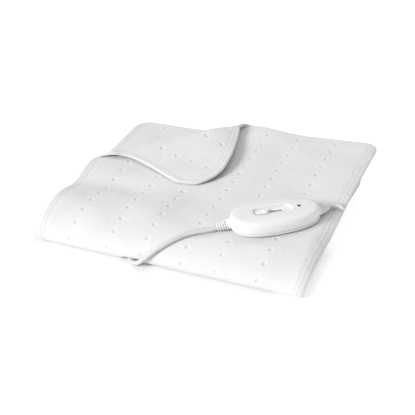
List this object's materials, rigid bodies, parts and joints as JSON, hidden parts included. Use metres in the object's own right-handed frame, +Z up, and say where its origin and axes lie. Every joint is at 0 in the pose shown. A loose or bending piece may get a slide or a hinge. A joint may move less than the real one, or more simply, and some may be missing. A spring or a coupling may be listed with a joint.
{
  "type": "heated mattress pad",
  "caption": "Quilted fleece heated mattress pad, folded into a small stack with one top corner turned over and its in-line slider controller lying on top.",
  "frame": {"origin": "centre of the folded stack's bounding box on the surface it lies on, without the mains lead behind it", "axes": "+Z up, +X along the big front fold to the right, +Y from the front fold to the open back edge"},
  "size_m": [0.3738, 0.3943, 0.0709],
  "materials": {
    "fleece": "matte",
    "controller_plastic": "satin",
    "knob_plastic": "satin",
    "lamp_lens": "gloss",
    "lead": "satin",
    "relief_rubber": "matte",
    "pin_metal": "polished"
  },
  "bodies": {
    "pad": {"pad_cloth": "fleece", "mains_lead": "lead", "mains_lead_hank": "lead", "mains_lead_end": "lead", "plug_body": "lead", "plug_pin_front": "pin_metal", "plug_pin_back": "pin_metal", "pad_lead": "lead", "controller_bottom": "controller_plastic", "controller_top": "controller_plastic", "signal_lamp": "lamp_lens", "mains_relief": "relief_rubber", "pad_relief": "relief_rubber"},
    "slider": {"slider_knob": "knob_plastic"}
  },
  "joints": [
    {"name": "heat_slider", "type": "slide", "parent": "pad", "child": "slider", "axis": [0.8194, 0.5715, 0.0441], "range_m": [0, 0.024]}
  ]
}
